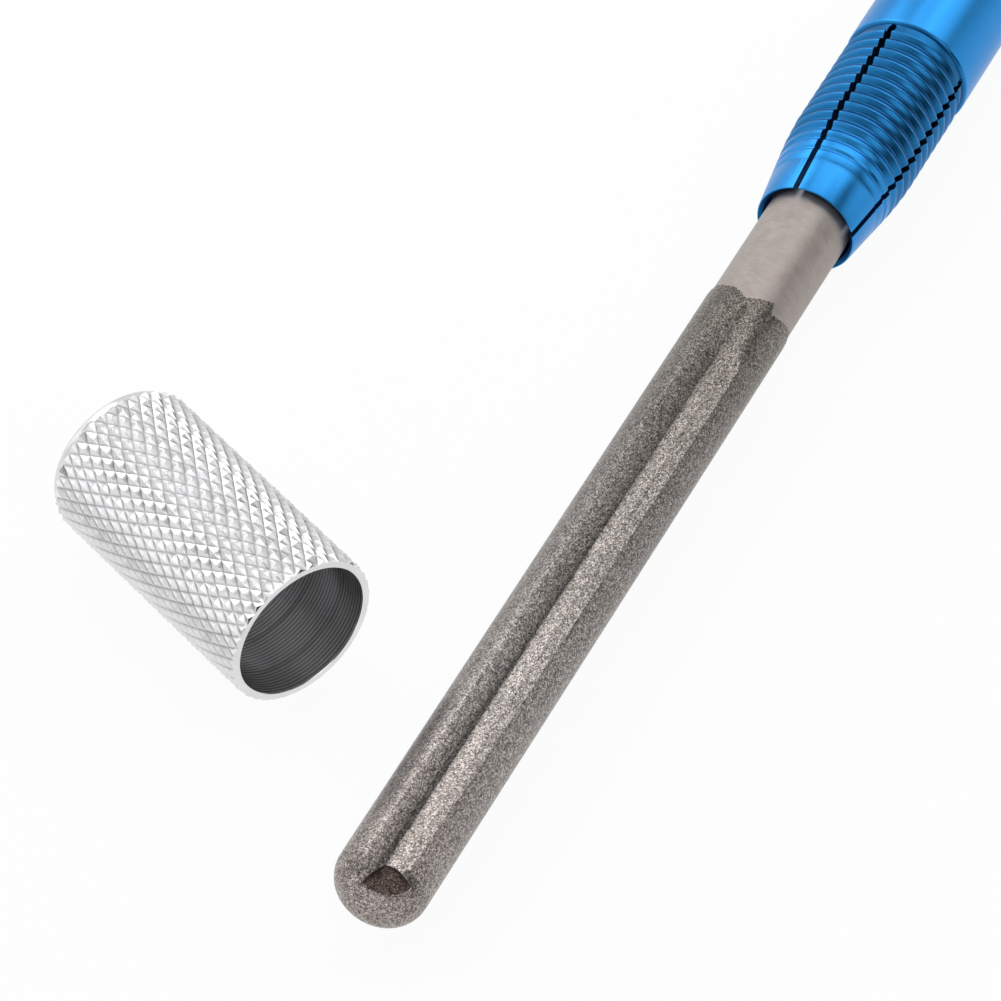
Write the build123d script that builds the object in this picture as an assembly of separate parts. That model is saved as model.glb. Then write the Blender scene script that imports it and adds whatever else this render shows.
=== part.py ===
from build123d import *
import os
from math import cos, pi, radians, sin, tan

# Diamond sharpening pen, all sizes in millimetres.
# The pen lies along X: the butt's end face is at the origin, the rod points to +X, +Z is up.
# The clamping nut is taken off and lies beside the rod on the same surface.

# Sharpening rod
rod_length = 100.0
rod_out = 74.05             # how far the rod stands out of the collet
shank_diameter = 6.5
coating_build_up = 0.15     # the plated layer stands this far above the shank
bare_length = 11.2          # bare shank seen between the collet and the coating
tip_corner_radius = 2.5
tail_chamfer = 0.5
coating_edge_bevel = 0.1

# Hook groove along the coated part
groove_angle = 134.0        # between its two walls
groove_depth_tip = 0.93
groove_depth_root = 1.12
groove_run_out = 6.0        # length over which the cutter lifts out
groove_end_gap = 1.0        # coated land left between the run-out and the bare shank
groove_turn = 10.6          # round the rod, from straight up towards +Y
tip_flat_slope = 20.5       # the small flat where the groove opens at the tip
tip_flat_back = 1.95        # how far behind the tip it begins
tip_flat_step = 0.12        # how far it begins under the groove's bottom
tip_flat_width = 0.8        # its square back edge, from the groove's middle towards +Y
tip_flat_side_slant = 24.0  # of its side edge, from the rod's own direction
tip_flat_back_slant = 22.0  # of the back edge beyond the square part

# Handle tube with its split collet nose
handle_length = 105.0
barrel_diameter = 10.0
bore_clearance = 0.12       # round the coated rod, which slides through the bore
nose_length = 19.2
mouth_bevel = 0.24
lip_thickness = 0.36        # wall left at the collet's mouth
lip_bevel = 0.06
nose_taper = 7.5            # half angle of the cone that the nut closes
thread_pitch = 1.115
thread_depth = 0.55
thread_step = 0.07          # the crest lies this far under the barrel's surface
thread_relief_length = 0.95
thread_start = 1.5          # from the shoulder to the first valley
thread_relief_depth = 0.22
shoulder_bevel = 0.12
tube_end_bevel = 0.15

# Collet slots
slot_count = 4
slot_width_root = 0.58
slot_width_mouth = 0.45     # the jaws have taken a slight inward set
slot_turn = 76.0            # of the first slot, from straight up towards +Y

# Butt plug
plug_head_length = 2.5
plug_head_bevel = 0.6
plug_spigot_length = 5.0
plug_fit = 0.02

# Clamping nut
nut_length = 22.0
nut_diameter = 12.0
nut_rim_bevel = 0.17
nut_collar_length = 0.9     # plain band at the front end
nut_collar_step = 0.1       # the band lies this far under the grooves' bottoms
nut_collar_bevel = 0.35
knurl_count = 37            # grooves of each hand
knurl_angle = 31.7          # between a groove and the nut's axis
knurl_depth = 0.22
knurl_drift = 0.28          # degrees per mm, by which the knurling wheels ran off line
thread_clearance = 0.07
counterbore_clearance = 0.32
counterbore_length = 7.5    # deep enough to take the barrel's shoulder and the first ridges
counterbore_bevel = 0.05
shoulder_overlap = 0.8      # the closed nut reaches this far over the barrel's shoulder
nut_hole_clearance = 0.35
nut_mouth_x = 53.97         # middle of its mouth, measured from the collet's mouth along the rod
nut_mouth_y = -14.75
nut_turn = 63.3             # its mouth faces this far round from +X towards +Y

# Sizes that follow
shank_radius = shank_diameter / 2
coated_radius = shank_radius + coating_build_up
barrel_radius = barrel_diameter / 2
bore_radius = coated_radius + bore_clearance
crest_radius = barrel_radius - thread_step
root_radius = crest_radius - thread_depth
tip_x = handle_length + rod_out
coating_x = handle_length + bare_length
shoulder_x = handle_length - nose_length
nut_radius = nut_diameter / 2
knurl_root_radius = nut_radius - knurl_depth


def turned(*edges):
    """Turn a closed outline of (station along X, radius) about the pen's axis."""
    return revolve(Plane.XZ * make_face(list(edges)), axis=Axis.X)


def turned_polygon(points):
    return turned(Polyline(*points, close=True))


# Sharpening rod
def rod_blank():
    tail_x = tip_x - rod_length
    corner_x = tip_x - tip_corner_radius
    end_radius = coated_radius - tip_corner_radius
    side = Polyline(
        (tip_x, 0),
        (tail_x, 0),
        (tail_x, shank_radius - tail_chamfer),
        (tail_x + tail_chamfer, shank_radius),
        (coating_x, shank_radius),
        (coating_x + coating_edge_bevel, coated_radius),
        (corner_x, coated_radius),
    )
    corner = CenterArc((corner_x, end_radius), tip_corner_radius, 0, 90)
    end = Line((tip_x, end_radius), (tip_x, 0))
    return turned(side, corner, end)


def vee_section(x, depth):
    """The groove's triangular section at a station, its point at the given depth."""
    half_width = (depth + coated_radius) * tan(radians(groove_angle / 2))
    bottom = coated_radius - depth
    top = 2 * coated_radius
    plane = Plane(origin=(x, 0, 0), x_dir=(0, 1, 0), z_dir=(1, 0, 0))
    return plane * make_face(Polyline((0, bottom), (half_width, top), (-half_width, top), close=True))


def hook_groove():
    start_x = coating_x + groove_end_gap
    full_x = start_x + groove_run_out
    end_x = tip_x + tip_corner_radius
    sections = [
        vee_section(start_x, 0.0),
        vee_section(full_x, groove_depth_root),
        vee_section(end_x, groove_depth_tip),
    ]
    return loft(sections, ruled=True)


def tip_flat():
    """Small sloping flat that opens the groove at the tip, skewed as the cutter left it."""
    slope = radians(tip_flat_slope)
    plane = Plane(
        origin=(tip_x - tip_flat_back, 0, coated_radius - groove_depth_tip - tip_flat_step),
        x_dir=(cos(slope), 0, -sin(slope)),
        z_dir=(sin(slope), 0, cos(slope)),
    )
    reach = 2 * coated_radius
    side = reach * tan(radians(tip_flat_side_slant))
    back = (reach - tip_flat_width) * tan(radians(tip_flat_back_slant))
    outline = Polyline((0, 0), (reach, -side), (reach, reach), (back, reach), (0, tip_flat_width), close=True)
    return extrude(plane * make_face(outline), amount=reach)


def rod():
    cut = Rot(-groove_turn, 0, 0) * (hook_groove() + tip_flat())
    return rod_blank() - cut


# Handle tube with its split collet nose
def thread_outline():
    """Ridges of the collet's thread, from the first valley behind the shoulder to the mouth."""
    start = shoulder_x + thread_start
    count = int((handle_length - start) / thread_pitch)
    points = [(start, root_radius)]
    for ridge in range(count):
        x = start + ridge * thread_pitch
        points.append((x + thread_pitch / 2, crest_radius))
        points.append((x + thread_pitch, root_radius))
    return points


def tube_blank():
    relief_radius = crest_radius - thread_relief_depth
    outline = [
        (handle_length, 0),
        (plug_head_length, 0),
        (plug_head_length, barrel_radius - tube_end_bevel),
        (plug_head_length + tube_end_bevel, barrel_radius),
        (shoulder_x - shoulder_bevel, barrel_radius),
        (shoulder_x, barrel_radius - shoulder_bevel),
        (shoulder_x, relief_radius),
        (shoulder_x + thread_relief_length, relief_radius),
        *thread_outline(),
        (handle_length, root_radius),
    ]
    return turned_polygon(outline)


def nose_envelope():
    """What the turned cone leaves of the threaded nose."""
    lip_radius = bore_radius + lip_thickness
    taper = tan(radians(nose_taper))
    bevel_x = handle_length - lip_bevel
    return turned_polygon([
        (handle_length, 0),
        (0, 0),
        (0, lip_radius + handle_length * taper),
        (bevel_x, lip_radius + lip_bevel * taper),
        (handle_length, lip_radius - lip_bevel),
    ])


def bore():
    tool = Pos(handle_length / 2, 0, 0) * Rot(0, 90, 0) * Cylinder(bore_radius, handle_length)
    bevel = turned_polygon([
        (handle_length, 0),
        (handle_length, bore_radius + mouth_bevel),
        (handle_length - mouth_bevel, bore_radius),
        (handle_length - mouth_bevel, 0),
    ])
    return tool + bevel


def collet_slot(turn):
    """One saw cut through a wall, narrowing a little towards the mouth."""
    end_x = shoulder_x + slot_width_root / 2
    past_mouth = slot_width_root
    cut = make_face(Polyline(
        (end_x, slot_width_root / 2),
        (handle_length, slot_width_mouth / 2),
        (handle_length + past_mouth, slot_width_mouth / 2),
        (handle_length + past_mouth, -slot_width_mouth / 2),
        (handle_length, -slot_width_mouth / 2),
        (end_x, -slot_width_root / 2),
        close=True,
    ))
    cut += Pos(end_x, 0) * Circle(slot_width_root / 2)
    return Rot(-turn, 0, 0) * extrude(cut, amount=2 * barrel_radius)


def handle():
    body = tube_blank() & nose_envelope()
    body -= bore()
    for number in range(slot_count):
        body -= collet_slot(slot_turn + number * 360 / slot_count)
    return body


# Butt plug
def butt_plug():
    spigot_end = plug_head_length + plug_spigot_length
    spigot_radius = bore_radius - plug_fit
    return turned_polygon([
        (0, 0),
        (spigot_end, 0),
        (spigot_end, spigot_radius),
        (plug_head_length, spigot_radius),
        (plug_head_length, barrel_radius),
        (plug_head_bevel, barrel_radius),
        (0, barrel_radius - plug_head_bevel),
    ])


# Clamping nut, first made along the pen's axis with its mouth at the origin, facing +X
def knurled_sleeve():
    """Pyramids between crossing right-hand and left-hand grooves, on a solid bar."""
    length = nut_length - nut_collar_length
    step = 360 / knurl_count
    rows = round(length * knurl_count * tan(radians(knurl_angle)) / (pi * nut_radius))
    spacing = length / rows

    def point(radius, row, place):
        turn = radians((place + row % 2 / 2) * step + knurl_drift * row * spacing)
        return Vector(-row * spacing, radius * sin(turn), radius * cos(turn))

    def face(*corners):
        return Face(Wire(Polyline(*corners, close=True)))

    faces = []
    for row in range(rows + 1):
        outline = []
        for number in range(knurl_count):
            left = point(knurl_root_radius, row, number)
            peak = point(nut_radius, row, number + 0.5)
            right = point(knurl_root_radius, row, number + 1)
            outline += [left, peak]
            if row < rows:
                ahead = point(knurl_root_radius, row + 1, number + row % 2)
                faces += [face(left, peak, ahead), face(peak, right, ahead)]
            if row > 0:
                behind = point(knurl_root_radius, row - 1, number + row % 2)
                faces += [face(left, behind, peak), face(peak, behind, right)]
        if row in (0, rows):
            faces.append(face(*outline))
    return Solid(Shell(faces))


def nut_outside():
    collar_radius = knurl_root_radius - nut_collar_step
    front = -nut_length
    rim = turned_polygon([
        (0, 0),
        (0, nut_radius - nut_rim_bevel),
        (-nut_rim_bevel, nut_radius),
        (-nut_rim_bevel, 2 * nut_radius),
        (front, 2 * nut_radius),
        (front, 0),
    ])
    collar = turned_polygon([
        (front / 2, 0),
        (front / 2, collar_radius),
        (front + nut_collar_bevel, collar_radius),
        (front, collar_radius - nut_collar_bevel),
        (front, 0),
    ])
    return (knurled_sleeve() & rim) + collar


def nut_inside():
    """Counterbore for the shoulder, threaded bore, cone that closes the jaws, hole for the rod."""
    counterbore_radius = barrel_radius + counterbore_clearance
    thread_radius = root_radius + thread_clearance
    hole_radius = coated_radius + nut_hole_clearance
    lip_radius = bore_radius + lip_thickness
    taper = tan(radians(nose_taper))
    lip_depth = nose_length + shoulder_overlap
    cone_start = lip_depth - (thread_radius - lip_radius) / taper
    cone_end = cone_start + (thread_radius - hole_radius) / taper
    return turned_polygon([
        (0, 0),
        (0, counterbore_radius + counterbore_bevel),
        (-counterbore_bevel, counterbore_radius),
        (-counterbore_length, counterbore_radius),
        (-counterbore_length, thread_radius),
        (-cone_start, thread_radius),
        (-cone_end, hole_radius),
        (-nut_length, hole_radius),
        (-nut_length, 0),
    ])


def collet_nut():
    nut = nut_outside() - nut_inside()
    height = nut_radius - barrel_radius
    place = Pos(handle_length + nut_mouth_x, nut_mouth_y, height) * Rot(0, 0, nut_turn)
    return place * nut


parts = {
    "handle_tube": handle(),
    "sharpening_rod": rod(),
    "butt_plug": butt_plug(),
    "collet_nut": collet_nut(),
}
os.makedirs("parts", exist_ok=True)
for name, shape in parts.items():
    export_step(shape, f"parts/{name}.step")
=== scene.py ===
# %% [markdown]
# # A diamond sharpening pen, taken apart to be used
#
# The pen has four pieces. A blue anodised tube is the handle, and its front end is a threaded collet, split by
# four saw slots. A steel rod stands out of it, plated with diamond grit and grooved for fish hooks. A plug closes
# the butt. The knurled nut that closes the collet has been unscrewed and lies beside the rod.
#
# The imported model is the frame: its pieces are already in place, in metres, and every new piece is made where it
# belongs in that same frame. The pen lies along X with its tip towards +X, and the surface it lies on is 5 mm
# under its axis. Sizes are written in millimetres and multiplied by mm where Blender needs metres.

# %% Load the frame
import math
import bpy
from mathutils import Matrix, Vector


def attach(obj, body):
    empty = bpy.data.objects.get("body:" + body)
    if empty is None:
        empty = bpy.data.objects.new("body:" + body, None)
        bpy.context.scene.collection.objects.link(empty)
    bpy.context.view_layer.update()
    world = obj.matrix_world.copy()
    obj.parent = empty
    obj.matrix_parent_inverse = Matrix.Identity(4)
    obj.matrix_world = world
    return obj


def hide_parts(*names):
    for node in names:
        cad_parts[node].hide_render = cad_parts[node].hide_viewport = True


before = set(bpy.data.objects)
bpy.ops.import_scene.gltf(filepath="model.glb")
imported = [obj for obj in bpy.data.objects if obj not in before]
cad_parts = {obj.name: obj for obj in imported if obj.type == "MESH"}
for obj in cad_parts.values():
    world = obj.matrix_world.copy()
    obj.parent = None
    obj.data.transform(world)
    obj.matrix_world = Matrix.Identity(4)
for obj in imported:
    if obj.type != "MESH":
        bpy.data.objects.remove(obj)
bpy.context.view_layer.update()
mm = 0.001
print("nodes:", sorted(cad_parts))

# %% [markdown]
# ## Camera
#
# The picture was taken from a good way off with a long lens, so the rod hardly narrows towards the handle. A lens
# of 236 mm from half a metre gives the same drawing. The camera looks down at 45 degrees and is turned by a
# trifle about its own axis, as a camera held by hand is. Three angles are all that this needs.

# %% Camera
bpy.ops.object.camera_add(
    location=(0.44007, 0.12830, 0.32956),
    rotation=(math.radians(44.966), math.radians(-0.637), math.radians(115.139)),
)
camera = bpy.context.object
camera.name = "camera"
camera.data.lens = 236.36
camera.data.sensor_width = 36
camera.data.clip_start = 0.05
camera.data.clip_end = 20
bpy.context.scene.camera = camera
bpy.context.scene.view_settings.view_transform = "Standard"
print("the camera stands", round(camera.location.length, 3), "m from the butt")

# %% [markdown]
# ## Helpers for working as by hand
#
# Operators act on whatever is selected, so each piece starts with an empty selection. The first helpers pick a
# piece and put a mesh in order. The others draw an outline point by point, push it out to a bar or spin it as on
# a lathe, and cut one piece with another.

# %% Helpers for the selection
def clear_selection():
    if bpy.context.object and bpy.context.object.mode == "EDIT":
        bpy.ops.object.mode_set(mode="OBJECT")
    bpy.ops.object.select_all(action="DESELECT")


def pick(piece):
    """Makes one piece the selected and active one."""
    clear_selection()
    piece.select_set(True)
    bpy.context.view_layer.objects.active = piece


def weld(distance):
    """In edit mode: merges all corners that lie closer together than a distance in mm."""
    bpy.ops.mesh.select_all(action="SELECT")
    bpy.ops.mesh.remove_doubles(threshold=distance * mm)


def face_outwards():
    """In edit mode: turns every face outwards."""
    bpy.ops.mesh.select_all(action="SELECT")
    bpy.ops.mesh.normals_make_consistent(inside=False)


def saw_off(station, side):
    """In edit mode: takes off what lies beyond a station along X, and closes the cut. The side is 1 or -1."""
    bpy.ops.mesh.select_all(action="SELECT")
    bpy.ops.mesh.bisect(
        plane_co=(station * mm, 0, 0), plane_no=(side, 0, 0), use_fill=True, clear_outer=True,
        threshold=0.0001 * mm,
    )


def smooth(piece, angle=30):
    """Shades a piece smooth, but keeps edges that are sharper than an angle."""
    pick(piece)
    bpy.ops.object.shade_smooth_by_angle(angle=math.radians(angle))
    print(piece.name, len(piece.data.polygons), "faces")


# %% Helpers for shaping
def draw(name, points, closed=False):
    """Draws a line through points given in mm, by extruding a single vertex, and leaves edit mode on."""
    clear_selection()
    bpy.ops.mesh.primitive_plane_add(size=mm, location=(0, 0, 0))
    piece = bpy.context.object
    piece.name = name
    piece.data.name = name
    bpy.ops.object.mode_set(mode="EDIT")
    bpy.ops.mesh.merge(type="CENTER")
    bpy.ops.transform.translate(value=Vector(points[0]) * mm)
    for last, point in zip(points, points[1:]):
        step = (Vector(point) - Vector(last)) * mm
        bpy.ops.mesh.extrude_vertices_move(TRANSFORM_OT_translate={"value": step})
    bpy.ops.mesh.select_all(action="SELECT")
    if closed:
        bpy.ops.mesh.edge_face_add()
    return piece


def bar(name, outline, *steps):
    """Draws a closed outline and pushes it out into a solid, by one or more steps in metres."""
    piece = draw(name, outline, closed=True)
    for step in steps:
        bpy.ops.mesh.extrude_region_move(TRANSFORM_OT_translate={"value": step})
    face_outwards()
    return piece


def lathe(name, outline, steps=128):
    """Spins an outline of (station along X, radius) in mm about the X axis into a closed piece."""
    piece = draw(name, [(x, 0, radius) for x, radius in outline])
    bpy.ops.mesh.spin(steps=steps, angle=math.tau, center=(0, 0, 0), axis=(1, 0, 0), use_auto_merge=True)
    weld(0.0005)
    bpy.ops.mesh.normals_make_consistent(inside=False)
    bpy.ops.object.mode_set(mode="OBJECT")
    return piece


def combine(piece, tool, how):
    """Cuts, joins or crosses a piece with a tool, which is used up."""
    joint = piece.modifiers.new("combine", "BOOLEAN")
    joint.operation = how
    joint.solver = "EXACT"
    joint.object = tool
    pick(piece)
    bpy.ops.object.modifier_apply(modifier=joint.name)
    bpy.ops.object.mode_set(mode="EDIT")
    weld(0.003)
    bpy.ops.object.mode_set(mode="OBJECT")
    bpy.data.objects.remove(tool)


def turn_about_x(piece, degrees):
    """Turns a piece about the pen's axis, from +Y towards +Z, and settles it in its mesh."""
    pick(piece)
    piece.rotation_euler.x = math.radians(degrees)
    bpy.ops.object.transform_apply(location=False, rotation=True, scale=False)


# %% [markdown]
# ## Thread
#
# A thread is one small ridge that climbs along a helix. The Screw modifier does just that: it turns the outline
# of a single ridge about the axis and moves it on by one pitch each turn. Where one turn ends, the next begins,
# so the turns grow together into one skin. Two cuts across the axis then close it into a threaded bar. The ridges
# have rounded tops and valleys, because the anodising bath rounds every edge.

# %% Threaded bar
thread_pitch = 1.115
thread_turn = 1.9


def threaded_bar(name, start, end, valley_at, valley, crest, steps=96):
    """A right-hand threaded bar between two stations in mm, with a valley at a given station on top."""
    first = valley_at - thread_pitch * (int((valley_at - start) / thread_pitch) + 2)
    ridge = []
    for part in range(13):
        depth = 0.5 + 0.5 * math.cos(math.pi * part / 6)
        ridge.append((first + thread_pitch * part / 12, 0, crest - (crest - valley) * depth))
    piece = draw(name, ridge)
    bpy.ops.object.mode_set(mode="OBJECT")
    screw = piece.modifiers.new("turns", "SCREW")
    screw.axis = "X"
    screw.screw_offset = thread_pitch * mm
    screw.iterations = int((end - first) / thread_pitch) + 2
    screw.steps = steps
    screw.render_steps = steps
    pick(piece)
    bpy.ops.object.modifier_apply(modifier=screw.name)
    bpy.ops.object.mode_set(mode="EDIT")
    weld(0.002)
    saw_off(start, -1)
    saw_off(end, 1)
    face_outwards()
    bpy.ops.object.mode_set(mode="OBJECT")
    turn_about_x(piece, thread_turn)
    return piece


print("the thread climbs", thread_pitch, "mm each turn")

# %% [markdown]
# The jaws have been squeezed together by the nut, so the front end of the nose is a little thinner than the rest.
# A Simple Deform modifier tapers it from a station on. Its origin is an empty on the axis, so that the nose
# narrows about the pen's own axis.

# %% Taper
def taper(piece, station, share):
    """Narrows a piece about the pen's axis, from a station on, by a share of its width at its end."""
    clear_selection()
    bpy.ops.object.empty_add(location=(station * mm, 0, 0))
    middle = bpy.context.object
    stations = [corner.co.x for corner in piece.data.vertices]
    squeeze = piece.modifiers.new("squeeze", "SIMPLE_DEFORM")
    squeeze.deform_method = "TAPER"
    squeeze.deform_axis = "X"
    squeeze.origin = middle
    squeeze.limits = ((station * mm - min(stations)) / (max(stations) - min(stations)), 1)
    squeeze.factor = -share
    pick(piece)
    bpy.ops.object.modifier_apply(modifier=squeeze.name)
    bpy.data.objects.remove(middle)
    print(piece.name, "narrows from", station, "mm on")


# %% [markdown]
# ## Handle
#
# The real handle is turned from one bar: first the smooth barrel and the thread, then the long cone that takes
# the tops off the front ridges, and then the bore. The model is made in the same order.

# %% Turn the handle
shoulder = 85.8
mouth = 105.0
bore_radius = 3.52

handle = threaded_bar("handle", 86.75, mouth + 1, 101.86, 4.64, 4.93)
taper(handle, 96, 0.137)
barrel = lathe("barrel", [
    (2.5, 0), (2.5, 4.86), (2.54, 4.94), (2.62, 4.98), (2.75, 5.0),
    (85.5, 5.0), (85.62, 4.98), (85.72, 4.93), (shoulder, 4.84),
    (shoulder + 0.03, 4.73), (85.95, 4.7), (86.8, 4.7), (87.1, 4.2), (92, 4.1), (92, 0),
])
combine(handle, barrel, "UNION")
cone = lathe("nose_cone", [
    (2, 0), (2, 7.2), (80, 7.2), (104.9, 3.892), (104.98, 3.86), (mouth, 3.82), (mouth, 0),
], steps=120)
combine(handle, cone, "INTERSECT")
bore = lathe("bore", [
    (-2, 0), (-2, bore_radius), (104.72, bore_radius), (105.3, 4.08), (105.3, 0),
])
combine(handle, bore, "DIFFERENCE")
print("turned", handle.name, len(handle.data.polygons), "faces")

# %% [markdown]
# Four saw slots split the nose into jaws. Each cutter is a flat outline with a round end, as the saw left it, and
# a little narrower at the mouth, where the jaws stand closer together. It is pushed out through the wall, turned
# to its place about the axis, and taken off the handle.

# %% Saw the slots
first_slot = 14.0
half_root = 0.29
half_mouth = 0.225
slot_end = shoulder + half_root
slot_inside = 2.5
slot_outline = [(mouth + 1, -half_mouth, slot_inside), (mouth + 1, half_mouth, slot_inside)]
for corner in range(9):
    turn = math.pi * corner / 8
    slot_outline.append((slot_end - half_root * math.sin(turn), half_root * math.cos(turn), slot_inside))

for number in range(4):
    slot = bar("slot", slot_outline, (0, 0, 4 * mm))
    turn_about_x(slot, first_slot - 90 * number)
    combine(handle, slot, "DIFFERENCE")
smooth(handle)
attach(handle, "handle")
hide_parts("handle_tube")

# %% [markdown]
# ## Butt plug
#
# The plug is a small turned piece, pressed into the rear end of the tube. Its edge is rounded, and a shallow ring
# on its end face is where the lathe's parting tool came off.

# %% Turn the plug
plug = lathe("plug", [
    (0.04, 0), (0.04, 1.2), (0.0, 1.35), (0.0, 4.25), (0.06, 4.5), (0.22, 4.75), (0.45, 4.92), (0.7, 5.0),
    (2.3, 5.0), (2.42, 4.96), (2.5, 4.86), (2.5, 3.5), (7.5, 3.5), (7.5, 0),
])
smooth(plug)
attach(plug, "handle")
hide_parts("butt_plug")

# %% [markdown]
# ## Rod
#
# The rod is ground steel. Where the collet grips it, it is bare. From there on it is plated with nickel that
# holds diamond grit, and the plating is a step thicker than the shank. The whole body, with its rounded tip, is
# one outline on the lathe.

# %% Turn the rod
tip = 179.05
shank_radius = 3.25
coated_radius = 3.4
coat_start = 116.2
tip_round = 2.5

outline = [
    (79.2, 0), (79.2, 2.75), (79.7, shank_radius), (112, shank_radius),
    (coat_start, shank_radius + 0.01), (coat_start + 0.08, 3.36), (coat_start + 0.3, coated_radius),
    (119, coated_radius),
]
for number in range(13):
    turn = math.pi / 2 * number / 12
    outline.append((
        tip - tip_round * (1 - math.sin(turn)),
        coated_radius - tip_round * (1 - math.cos(turn)),
    ))
outline.append((tip, 0))
rod = lathe("rod", outline, steps=160)
print("turned", rod.name, len(rod.data.polygons), "faces")

# %% [markdown]
# The plating ends in a ragged line, because the bath crept along the mask. So the rings of points at its end are
# moved along the rod, by an amount that changes round it. A table gives the line at some angles, and a small
# ripple roughens it between them.

# %% Ragged end of the plating
ragged_line = [
    (-180, 116.1), (-150, 116.5), (-120, 115.9), (-90, 116.3), (-70, 115.7), (-50, 115.6), (-30, 116.0),
    (-15, 116.15), (-2, 116.65), (5, 117.0), (21, 116.45), (30, 116.15), (41, 115.9), (44, 116.9),
    (64, 116.35), (91, 115.7), (120, 116.3), (150, 115.9), (180, 116.1),
]
moved = 0
for point in rod.data.vertices:
    if coat_start - 0.1 < point.co.x / mm < coat_start + 0.4 and point.co.yz.length > 3.2 * mm:
        turn = math.degrees(math.atan2(point.co.y, point.co.z))
        for (start, first), (end, last) in zip(ragged_line, ragged_line[1:]):
            if start <= turn <= end:
                station = first + (last - first) * (turn - start) / (end - start)
                ripple = 0.1 * math.sin(7 * math.radians(turn) * 9)
                point.co.x += (station - coat_start + ripple) * mm
                moved += 1
                break
print("moved", moved, "points of the plating's end")

# %% [markdown]
# The groove is a wide V with walls 134 degrees apart, and hooks have worn its right edge round. Its cutter is a
# triangular bar that sinks into the rod near the shank and rises a little towards the tip.

# %% Cut the groove
groove_turn = -10.6
groove_start = 117.2
half_width = coated_radius * math.tan(math.radians(67))
worn_edge = [(0.9, 0.382), (1.15, 0.46), (1.4, 0.5), (1.65, 0.485), (1.9, 0.41), (2.3, 0.4)]
groove_outline = [(groove_start, 0, coated_radius)]
groove_outline += [(groove_start, side, coated_radius + rise) for side, rise in worn_edge]
groove_outline += [(groove_start, side, 2 * coated_radius) for side in (half_width, -half_width)]
groove_cutter = bar("groove_cutter", groove_outline, (6 * mm, 0, -1.12 * mm), (60 * mm, 0, 0.19 * mm))
turn_about_x(groove_cutter, groove_turn)
combine(rod, groove_cutter, "DIFFERENCE")
print("grooved", rod.name, len(rod.data.polygons), "faces")

# %% [markdown]
# At the tip a small sloping flat opens the groove. Its outline is drawn on the slope itself, from a corner on the
# groove's line, with one direction along the slope and one across it.

# %% Cut the flat at the tip
slope = math.radians(20.5)
flat_start = Vector((tip - 1.95, 0, 2.35))
down_slope = Vector((math.cos(slope), 0, -math.sin(slope)))
across_slope = Vector((0, 1, 0))
off_slope = Vector((math.sin(slope), 0, math.cos(slope)))
flat_outline = [
    flat_start + down_slope * x + across_slope * y
    for x, y in ((0, 0), (6.8, -3.03), (6.8, 6.8), (2.42, 6.8), (0, 0.8))
]
flat_cutter = bar("flat_cutter", flat_outline, off_slope * 6.8 * mm)
turn_about_x(flat_cutter, groove_turn)
combine(rod, flat_cutter, "DIFFERENCE")
print("cut the flat,", rod.name, len(rod.data.polygons), "faces")

# %% [markdown]
# Plating builds up on edges and rounds them. The edges to round are found in code: those where two faces meet at
# more than 15 degrees and bulge outwards. A bevel then gives them two narrow facets, which smooth shading melts
# together.

# %% Round the groove's edges
def select_sharp_edges(piece, start, end):
    """Selects the outward edges between two stations where faces meet at more than 15 degrees."""
    pick(piece)
    bpy.ops.object.mode_set(mode="EDIT")
    bpy.ops.mesh.select_mode(type="EDGE")
    bpy.ops.mesh.select_all(action="DESELECT")
    bpy.ops.object.mode_set(mode="OBJECT")
    mesh = piece.data
    beside = {}
    for face in mesh.polygons:
        for key in face.edge_keys:
            beside.setdefault(key, []).append(face)
    count = 0
    for line in mesh.edges:
        faces = beside.get(tuple(sorted(line.vertices)), [])
        if len(faces) != 2:
            continue
        first, second = faces
        sharp = first.normal.angle(second.normal) >= math.radians(15)
        outward = (second.center - first.center).dot(first.normal) <= 0
        middle = (mesh.vertices[line.vertices[0]].co + mesh.vertices[line.vertices[1]].co) / 2
        if sharp and outward and start * mm < middle.x < end * mm:
            line.select = True
            count += 1
    bpy.ops.object.mode_set(mode="EDIT")
    return count


found = select_sharp_edges(rod, 119, tip)
bpy.ops.mesh.bevel(offset=0.06 * mm, segments=2, affect="EDGES")
bpy.ops.mesh.select_mode(type="VERT")
bpy.ops.object.mode_set(mode="OBJECT")
print("rounded", found, "edges of the groove")
smooth(rod)
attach(rod, "rod")
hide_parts("sharpening_rod")

# %% [markdown]
# ## Nut
#
# A diamond knurl is two sets of grooves that cross, one right-handed and one left-handed, and what is left
# between them are small pyramids. One pyramid is made from a rhombus that is inset and pushed out. An Array turns
# it round the nut, and a second Array repeats that ring along it, each ring turned on by half a pyramid. The nut
# is made on the pen's axis, with its mouth at zero, and moved to its place when it is finished.

# %% Knurl
nut_radius = 6.0
knurl_depth = 0.22
knurl_length = 21.1
knurl_count = 37
rows = 25
row_spacing = knurl_length / rows
half_step = math.pi / knurl_count
drift = math.radians(0.28) * row_spacing
knurl_root = nut_radius - knurl_depth


def on_root(x, turn):
    """A point on the bottom of the knurl's grooves."""
    return x, knurl_root * math.sin(turn), knurl_root * math.cos(turn)


def repeat(piece, name, count, turn, move):
    """Copies a piece in steps that turn it about X and move it along X, with an Array."""
    clear_selection()
    bpy.ops.object.empty_add(location=(move * mm, 0, 0), rotation=(-turn, 0, 0))
    step = bpy.context.object
    array = piece.modifiers.new(name, "ARRAY")
    array.use_relative_offset = False
    array.use_object_offset = True
    array.offset_object = step
    array.count = count
    pick(piece)
    bpy.ops.object.modifier_apply(modifier=name)
    bpy.data.objects.remove(step)


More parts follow.
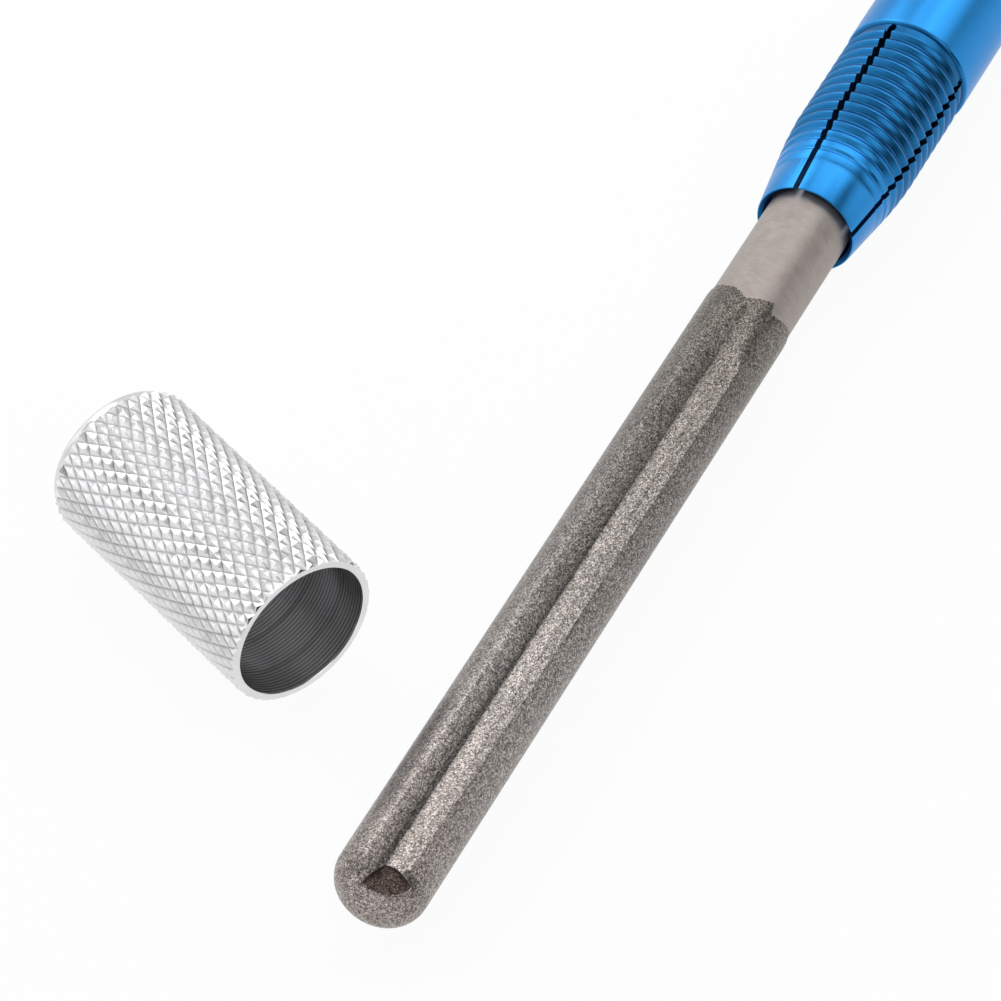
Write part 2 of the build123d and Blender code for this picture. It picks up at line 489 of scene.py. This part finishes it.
nut = draw("nut", [
    on_root(0, half_step), on_root(-row_spacing, drift), on_root(0, -half_step), on_root(row_spacing, -drift),
], closed=True)
bpy.ops.mesh.flip_normals()
bpy.ops.mesh.inset(thickness=0.39 * mm, depth=knurl_depth * mm)
bpy.ops.object.mode_set(mode="OBJECT")
repeat(nut, "round", knurl_count, 2 * half_step, 0)
repeat(nut, "along", rows + 1, half_step + drift, -row_spacing)
bpy.ops.object.mode_set(mode="EDIT")
weld(0.01)
saw_off(0, 1)
saw_off(-knurl_length, -1)
face_outwards()
bpy.ops.object.mode_set(mode="OBJECT")
print("knurled", knurl_count * (rows + 1), "pyramids,", len(nut.data.polygons), "faces")

# %% [markdown]
# A crossing with a turned shape chamfers the knurl at the mouth, and a smooth collar closes the far end. The bore
# has three parts: a counterbore with the fine rings that a boring bar leaves, the thread for the collet, and a
# cone that presses the jaws together, with a hole in front for the rod.

# %% Bore the nut
rim = lathe("rim", [(0, 0), (0, 5.83), (-0.17, 6.0), (-0.17, 6.6), (-22, 6.6), (-22, 0)])
combine(nut, rim, "INTERSECT")
collar = lathe("collar", [
    (-20, 0), (-20, 5.6), (-21.55, 5.6), (-21.75, 5.56), (-21.9, 5.45), (-22, 5.25), (-22, 0),
])
combine(nut, collar, "UNION")

counterbore_radius = 5.32
ring_spacing = 0.28
bore_outline = [(1, 0), (1, 6.4), (-0.04, counterbore_radius)]
for number in range(26):
    x = -0.2 - number * ring_spacing
    radius = counterbore_radius - 0.04 * (x < -2.4) - 0.04 * (x < -5.5)
    bore_outline += [(x, radius), (x - ring_spacing / 2, radius - 0.025)]
bore_outline += [(-7.5, 5.2), (-7.6, 4.45), (-15.7, 4.45), (-20.98, 3.75), (-23, 3.75), (-23, 0)]
nut_bore = lathe("nut_bore", bore_outline)
combine(nut, nut_bore, "DIFFERENCE")
nut_thread = threaded_bar("nut_thread", -16.2, -7.0, -10, 4.38, 5.0)
combine(nut, nut_thread, "DIFFERENCE")
print("bored", nut.name, len(nut.data.polygons), "faces")

# %% [markdown]
# Now the nut is laid beside the rod: turned about Z, and moved so that the tips of its knurl rest on the floor.
# Both are applied, which leaves the object itself at the origin.

# %% Lay the nut down
nut_place = (158.97 * mm, -14.75 * mm, 1.0 * mm)
nut_turn = math.radians(63.3)

pick(nut)
nut.rotation_euler.z = nut_turn
nut.location = nut_place
bpy.ops.object.transform_apply(location=True, rotation=True, scale=False)
smooth(nut)
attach(nut, "handle")
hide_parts("collet_nut")

# %% [markdown]
# ## Finishes
#
# Every finish starts from the same Principled shader. Small helpers add nodes and wires, so that each recipe
# reads as a list of what is mixed with what. All patterns use the piece's own coordinates, so they stay on it
# when it moves.

# %% Helpers for nodes
def new_material(name, colour, metallic, roughness):
    material = bpy.data.materials.new(name)
    material.use_nodes = True
    shader = material.node_tree.nodes["Principled BSDF"]
    shader.inputs["Base Color"].default_value = (*colour, 1)
    shader.inputs["Metallic"].default_value = metallic
    shader.inputs["Roughness"].default_value = roughness
    return material


def node(material, kind, **values):
    """Adds a node; names of inputs are written with underscores, settings are given as set_name."""
    added = material.node_tree.nodes.new("ShaderNode" + kind)
    for name, value in values.items():
        if name.startswith("set_"):
            setattr(added, name[4:], value)
        else:
            added.inputs[name.replace("_", " ")].default_value = value
    return added


def wire(material, start, end):
    material.node_tree.links.new(start, end)


def shader_input(material, name):
    return material.node_tree.nodes["Principled BSDF"].inputs[name]


def part_of(material, piece, wanted=None):
    """Puts a material on the whole piece, or on the faces that are wanted."""
    if wanted is None:
        piece.data.materials.clear()
        piece.data.materials.append(material)
        print(material.name, "on the whole", piece.name)
        return
    piece.data.materials.append(material)
    slot = len(piece.data.materials) - 1
    count = 0
    for face in piece.data.polygons:
        if wanted(face):
            face.material_index = slot
            count += 1
    print(material.name, "on", count, "faces of", piece.name)


# %% [markdown]
# A finish often depends on where a point of the surface lies: how far along the pen, how deep in the thread, on
# which side of the groove. These helpers measure that with nodes. The last one turns a measure into a value from
# 0 to 1, which can mix colours.

# %% Helpers for places
def own_axes(material, centre=(0, 0, 0), turn=(0, 0, 0)):
    """A piece's coordinates, seen from axes that stand at a centre and are turned."""
    axes = node(material, "Mapping", set_vector_type="TEXTURE", Location=centre, Rotation=turn)
    wire(material, node(material, "TexCoord").outputs["Object"], axes.inputs["Vector"])
    return axes.outputs["Vector"]


def along(material, place, letter):
    """One coordinate of a place: X, Y or Z."""
    parts = node(material, "SeparateXYZ")
    wire(material, place, parts.inputs["Vector"])
    return parts.outputs[letter]


def from_axis(material, place):
    """How far a place is from the X axis."""
    flat = node(material, "VectorMath", set_operation="MULTIPLY")
    flat.inputs[1].default_value = (0, 1, 1)
    wire(material, place, flat.inputs[0])
    length = node(material, "VectorMath", set_operation="LENGTH")
    wire(material, flat.outputs["Vector"], length.inputs[0])
    return length.outputs["Value"]


def between(material, measure, start, end):
    """Is 0 at the start, 1 at the end, both in mm, and runs evenly between them."""
    scaled = node(material, "MapRange", From_Min=start * mm, From_Max=end * mm)
    wire(material, measure, scaled.inputs["Value"])
    return scaled.outputs["Result"]


# %% Helpers for patterns
def pattern(material, kind, scale, stretch=(1, 1, 1), axes=None, **values):
    """A texture on the piece's own coordinates, squeezed along some of them by a stretch above 1."""
    place = axes or node(material, "TexCoord").outputs["Object"]
    mapping = node(material, "Mapping", Scale=stretch)
    wire(material, place, mapping.inputs["Vector"])
    texture = node(material, "Tex" + kind, Scale=scale, **values)
    wire(material, mapping.outputs["Vector"], texture.inputs["Vector"])
    return texture


def ramp(material, start, *stops):
    """A colour ramp; each stop is a position with a grey value or a colour."""
    colours = node(material, "ValToRGB")
    elements = colours.color_ramp.elements
    while len(elements) < len(stops):
        elements.new(0.5)
    for element, (position, colour) in zip(elements, stops):
        element.position = position
        element.color = (*colour, 1) if isinstance(colour, tuple) else (colour, colour, colour, 1)
    wire(material, start, colours.inputs["Fac"])
    return colours.outputs["Color"]


def darken(material, factor, colour, by):
    """Multiplies a colour by another one; the factor is a number or an output."""
    mixed = node(material, "MixRGB", set_blend_type="MULTIPLY")
    if isinstance(factor, (int, float)):
        mixed.inputs["Fac"].default_value = factor
    else:
        wire(material, factor, mixed.inputs["Fac"])
    wire(material, colour, mixed.inputs["Color1"])
    wire(material, by, mixed.inputs["Color2"])
    return mixed.outputs["Color"]


def relief(material, height, depth, strength=1.0, under=None):
    """Bump of a depth in millimetres, stacked on another bump when one is given."""
    bump = node(material, "Bump", Strength=strength, Distance=depth * mm)
    wire(material, height, bump.inputs["Height"])
    if under:
        wire(material, under.outputs["Normal"], bump.inputs["Normal"])
    wire(material, bump.outputs["Normal"], shader_input(material, "Normal"))
    return bump


# %% [markdown]
# ## Blue anodised aluminium
#
# Anodising keeps the metal's shine and dyes it, so this is a metal whose colour is the dye. The lathe's fine
# marks run round the tube: a noise that is squeezed along X gives them. A second, slow noise makes the gloss
# uneven, as handled metal is. The valleys of the thread get painted shade and are darker, but not on the
# front of the nose, where the cone has cut the ridges away.

# %% Blue anodised
blue = new_material("blue_anodised", (0.027, 0.25, 0.63), 1, 0.28)
marks = pattern(blue, "Noise", 1, stretch=(9000, 250, 250), Detail=3)
cloud = pattern(blue, "Noise", 260, Detail=4)
dye = ramp(blue, cloud.outputs["Fac"], (0.3, (0.024, 0.235, 0.6)), (0.7, (0.03, 0.27, 0.66)))

on_pen = node(blue, "TexCoord").outputs["Object"]
# Painted shade: the thread's valleys are darkened by their distance from the axis, behind the nose's front.
threaded = between(blue, along(blue, on_pen, "X"), 100.5, 96.5)
height = between(blue, from_axis(blue, on_pen), 4.64, 4.97)
valley_shade = ramp(blue, height, (0.0, 0.42), (0.85, 0.72), (1.0, 1.0))
wire(blue, darken(blue, threaded, dye, valley_shade), shader_input(blue, "Base Color"))

dull = ramp(blue, cloud.outputs["Fac"], (0.3, 0.3), (0.7, 0.36))
rubbed = ramp(blue, marks.outputs["Fac"], (0.3, 0.7), (0.7, 1.0))
wire(blue, darken(blue, 0.3, dull, rubbed), shader_input(blue, "Roughness"))
relief(blue, marks.outputs["Fac"], 0.0015)
part_of(blue, handle)
part_of(blue, plug)

# %% [markdown]
# ## Diamond plating
#
# Grit of about a tenth of a millimetre sits in nickel. Each grain tilts its own way, so from any side some glint
# and others are dark. Voronoi cells stand for the grains, each with its own grey, and a finer noise breaks them
# up. The same patterns raise the surface.

# %% Grains
plating = new_material("diamond_plating", (0.4, 0.36, 0.33), 1, 0.45)
grains = pattern(plating, "Voronoi", 9500)
fine = pattern(plating, "Noise", 14000, Detail=3, Roughness=0.7)
patches = pattern(plating, "Noise", 420, Detail=5, Roughness=0.6)
grain_grey = node(plating, "SeparateColor")
wire(plating, grains.outputs["Color"], grain_grey.inputs["Color"])

speckle = ramp(plating, grain_grey.outputs["Red"],
               (0.0, (0.17, 0.155, 0.148)), (0.5, (0.42, 0.39, 0.375)), (1.0, (0.85, 0.81, 0.785)))
pits = ramp(plating, fine.outputs["Fac"], (0.4, 0.04), (0.48, 0.72), (0.56, 1.0))
speckle = darken(plating, 1.0, speckle, pits)
speckle = darken(plating, 0.5, speckle, ramp(plating, patches.outputs["Fac"], (0.35, 0.7), (0.65, 1.0)))
wire(plating, ramp(plating, fine.outputs["Fac"], (0.35, 0.52), (0.5, 0.32)), shader_input(plating, "Roughness"))
grit = relief(plating, grains.outputs["Distance"], 0.01, strength=0.6)
relief(plating, fine.outputs["Fac"], 0.006, under=grit)
print("grains and pits mixed for", plating.name)

# %% [markdown]
# Along the rod the plating gets painted light: it is lighter towards the tip and darker towards the shank, where
# it has a slight green tint. The groove gets painted shade, placed by where it is: inside the coated radius, near
# the top, and darkest on the left wall. Axes turned with the groove make that easy to measure.

# %% Painted light along the rod and painted shade in the groove
# Painted light along the rod: lighter towards the tip, darker with a slight green tint towards the shank.
to_tip = between(plating, along(plating, node(plating, "TexCoord").outputs["Object"], "X"), 115, 180)
light_and_tint = ramp(plating, to_tip, (0.0, (0.53, 0.505, 0.465)), (0.35, (0.71, 0.69, 0.665)),
            (0.7, (0.88, 0.86, 0.84)), (1.0, (1.0, 0.94, 0.91)))
light_and_tint.node.name = "light_and_tint"
speckle = darken(plating, 1.0, speckle, light_and_tint)

upright = own_axes(plating, turn=(math.radians(groove_turn), 0, 0))
sideways = between(plating, along(plating, upright, "Y"), -1.5, 0.5)
inside = between(plating, from_axis(plating, upright), 3.38, 3.3)
near_top = between(plating, along(plating, upright, "Z"), 1.6, 2.0)
in_groove = node(plating, "Math", set_operation="MULTIPLY")
wire(plating, inside, in_groove.inputs[0])
wire(plating, near_top, in_groove.inputs[1])
# Painted shade in the groove, darkest on its left wall.
groove_shade = ramp(plating, sideways, (0.0, 0.8), (0.55, 0.62), (0.76, 0.52), (0.84, 0.8), (1.0, 1.0))
wire(plating, darken(plating, in_groove.outputs["Value"], speckle, groove_shade), shader_input(plating, "Base Color"))
part_of(plating, rod)

# %% [markdown]
# On the flat at the tip the plating gets painted shade in brown. It gets a copy of the finish in which the ramp
# along the rod is the same brown all over. The flat's face is found by its normal.

# %% Painted shade on the flat
# Painted shade: this copy of the plating is dark brown all over, on the flat only.
shaded_flat = plating.copy()
shaded_flat.name = "shaded_flat_plating"
for stop in shaded_flat.node_tree.nodes["light_and_tint"].color_ramp.elements:
    stop.color = (0.5, 0.4, 0.36, 1)
flat_normal = Matrix.Rotation(math.radians(groove_turn), 3, "X") @ off_slope


def on_flat(face):
    return face.normal.dot(flat_normal) > 0.9995 and face.center.x > (tip - 3) * mm


part_of(shaded_flat, rod, on_flat)

# %% [markdown]
# ## Ground shank
#
# The bare steel of the shank was ground between centres, so its marks run round it, and they are coarser than
# those of the handle.

# %% Ground shank
steel = new_material("ground_steel", (0.4, 0.37, 0.35), 0.75, 0.46)
scratches = pattern(steel, "Noise", 1, stretch=(15000, 900, 900), Detail=3)
stains = pattern(steel, "Noise", 900, Detail=5, Roughness=0.65)
tone = ramp(steel, scratches.outputs["Fac"], (0.3, (0.375, 0.33, 0.31)), (0.7, (0.435, 0.395, 0.375)))
stained = ramp(steel, stains.outputs["Fac"], (0.35, (0.74, 0.69, 0.63)), (0.6, (1.0, 1.0, 1.0)))
wire(steel, darken(steel, 0.6, tone, stained), shader_input(steel, "Base Color"))
wire(steel, ramp(steel, stains.outputs["Fac"], (0.3, 0.4), (0.7, 0.54)), shader_input(steel, "Roughness"))
relief(steel, scratches.outputs["Fac"], 0.003)


def on_shank(face):
    return face.center.x < 117.1 * mm and math.hypot(face.center.y, face.center.z) < 3.3 * mm


part_of(steel, rod, on_shank)

# %% [markdown]
# ## Bright aluminium
#
# The nut is polished aluminium without a dye. In the grooves of its knurl it gets painted shade, so its colour
# follows the distance from the nut's own axis, behind the rim.

# %% Bright aluminium
aluminium = new_material("bright_aluminium", (0.74, 0.74, 0.75), 1, 0.22)
haze = pattern(aluminium, "Noise", 500, Detail=4)
tooling = pattern(aluminium, "Noise", 6000, Detail=3)
polish = ramp(aluminium, haze.outputs["Fac"], (0.3, 0.17), (0.7, 0.27))
wire(aluminium, polish, shader_input(aluminium, "Roughness"))
relief(aluminium, tooling.outputs["Fac"], 0.003)

on_nut = own_axes(aluminium, nut_place, (0, 0, nut_turn))
behind_rim = between(aluminium, along(aluminium, on_nut, "X"), -0.2, -0.35)
height = between(aluminium, from_axis(aluminium, on_nut), 5.68, 5.98)
# Painted shade in the knurl's grooves, darker nearer the nut's own axis.
knurl_shade = ramp(aluminium, height, (0.0, 1.0), (0.25, 0.42), (0.42, 0.75), (0.6, 1.0))
bright = ramp(aluminium, haze.outputs["Fac"], (0.3, (0.7, 0.7, 0.71)), (0.7, (0.78, 0.78, 0.795)))
wire(aluminium, darken(aluminium, behind_rim, bright, knurl_shade), shader_input(aluminium, "Base Color"))
part_of(aluminium, nut)

# %% [markdown]
# The bore is left as the boring bar made it, which is duller and darker, with fine rings: a Wave texture along
# the nut's axis and a noise that is squeezed along it. Its faces are found by their distance from that axis.

# %% Bored aluminium
bored = new_material("bored_aluminium", (0.8, 0.8, 0.81), 1, 0.34)
in_nut = own_axes(bored, nut_place, (0, 0, nut_turn))
rings = pattern(bored, "Noise", 1, stretch=(12000, 400, 400), axes=in_nut, Detail=2)
turned = pattern(bored, "Wave", 1122, axes=in_nut)
lines = ramp(bored, turned.outputs["Fac"],
             (0.0, (0.42, 0.42, 0.43)), (0.45, (0.74, 0.74, 0.75)), (1.0, (0.95, 0.95, 0.96)))
uneven = ramp(bored, rings.outputs["Fac"], (0.3, 0.6), (0.7, 1.0))
wire(bored, darken(bored, 0.5, lines, uneven), shader_input(bored, "Base Color"))
relief(bored, rings.outputs["Fac"], 0.003)
nut_axis = Vector((math.cos(nut_turn), math.sin(nut_turn), 0))


def in_bore(face):
    """True where a face is near the nut's axis and not on its two ends."""
    offset = face.center - Vector(nut_place)
    depth = offset.dot(nut_axis)
    outwards = offset - nut_axis * depth
    return outwards.length < 5.34 * mm and -20.9 * mm < depth < -0.03 * mm


part_of(bored, nut, in_bore)

# %% [markdown]
# ## Floor
#
# The pen lies on white paper. The paper takes a soft shadow, and Light Path lightens it almost to white where the
# camera sees it, straight or mirrored in metal, so the light on the pen itself needn't be strong.

# %% Floor
floor_level = -5
paper_white = 0.94
clear_selection()
bpy.ops.mesh.primitive_plane_add(size=12, location=(0.09, 0, floor_level * mm))
floor = bpy.context.object
floor.name = "floor"

paper = new_material("white_paper", (0.86, 0.86, 0.86), 0, 0.9)
part_of(paper, floor)
ray = node(paper, "LightPath")
seen = node(paper, "Math", set_operation="ADD")
seen_through = node(paper, "Math", set_operation="ADD", set_use_clamp=True)
lighten = node(paper, "Math", set_operation="MULTIPLY")
lighten.inputs[1].default_value = paper_white
mix = node(paper, "MixShader")
wire(paper, ray.outputs["Is Camera Ray"], seen.inputs[0])
wire(paper, ray.outputs["Is Glossy Ray"], seen.inputs[1])
wire(paper, seen.outputs[0], seen_through.inputs[0])
wire(paper, ray.outputs["Is Transmission Ray"], seen_through.inputs[1])
wire(paper, seen_through.outputs[0], lighten.inputs[0])
wire(paper, lighten.outputs[0], mix.inputs[0])
wire(paper, paper.node_tree.nodes["Principled BSDF"].outputs[0], mix.inputs[1])
wire(paper, node(paper, "Emission", Strength=1).outputs[0], mix.inputs[2])
wire(paper, mix.outputs[0], paper.node_tree.nodes["Material Output"].inputs["Surface"])

# %% [markdown]
# ## Light
#
# The pen was photographed in a light tent. Metal shows only what it mirrors, so the tent matters more than any
# lamp: it is built from square soft panels all round the pen, in four rings one above the other. Most are weak
# and a few are strong. The strong ones draw the bright streaks along rod, barrel and nut, and the gaps between
# them the dark bands.

# %% Light
tent_middle = Vector((0.13, 0, 0))
tent_radius = 0.8

world = bpy.data.worlds.new("tent")
bpy.context.scene.world = world
world.use_nodes = True
world.node_tree.nodes["Background"].inputs["Color"].default_value = (1, 1, 1, 1)
world.node_tree.nodes["Background"].inputs["Strength"].default_value = 0.03


def panel(bearing, height, watts):
    """A square soft panel that looks at the middle of the tent; bearing and height are in degrees."""
    across, up = math.radians(bearing), math.radians(height)
    towards = Vector((math.cos(up) * math.cos(across), math.cos(up) * math.sin(across), math.sin(up)))
    clear_selection()
    bpy.ops.object.light_add(
        type="AREA", location=tent_middle + towards * tent_radius,
        rotation=(-towards).to_track_quat("-Z", "Y").to_euler(),
    )
    lamp = bpy.context.object
    lamp.name = "panel_%d_%d" % (bearing, height)
    lamp.data.shape = "SQUARE"
    lamp.data.size = 0.4
    lamp.data.energy = watts
    lamp.visible_camera = False


panels = {
    15: {0: 0.26, 120: 0.58, 180: 0.39, 210: 0.39, 240: 0.57, 270: 0.65, 300: 0.42, 330: 0.65},
    42: {30: 0.26, 60: 0.9, 150: 0.8, 180: 0.44, 210: 0.39, 240: 1.25, 270: 0.34, 300: 0.57},
    60: {125: 0.5},
    66: {0: 0.35, 180: 0.83, 240: 0.2, 300: 0.52},
}
for height, row in panels.items():
    for bearing, watts in row.items():
        panel(bearing, height, watts)
print("the tent has", sum(len(row) for row in panels.values()), "panels")
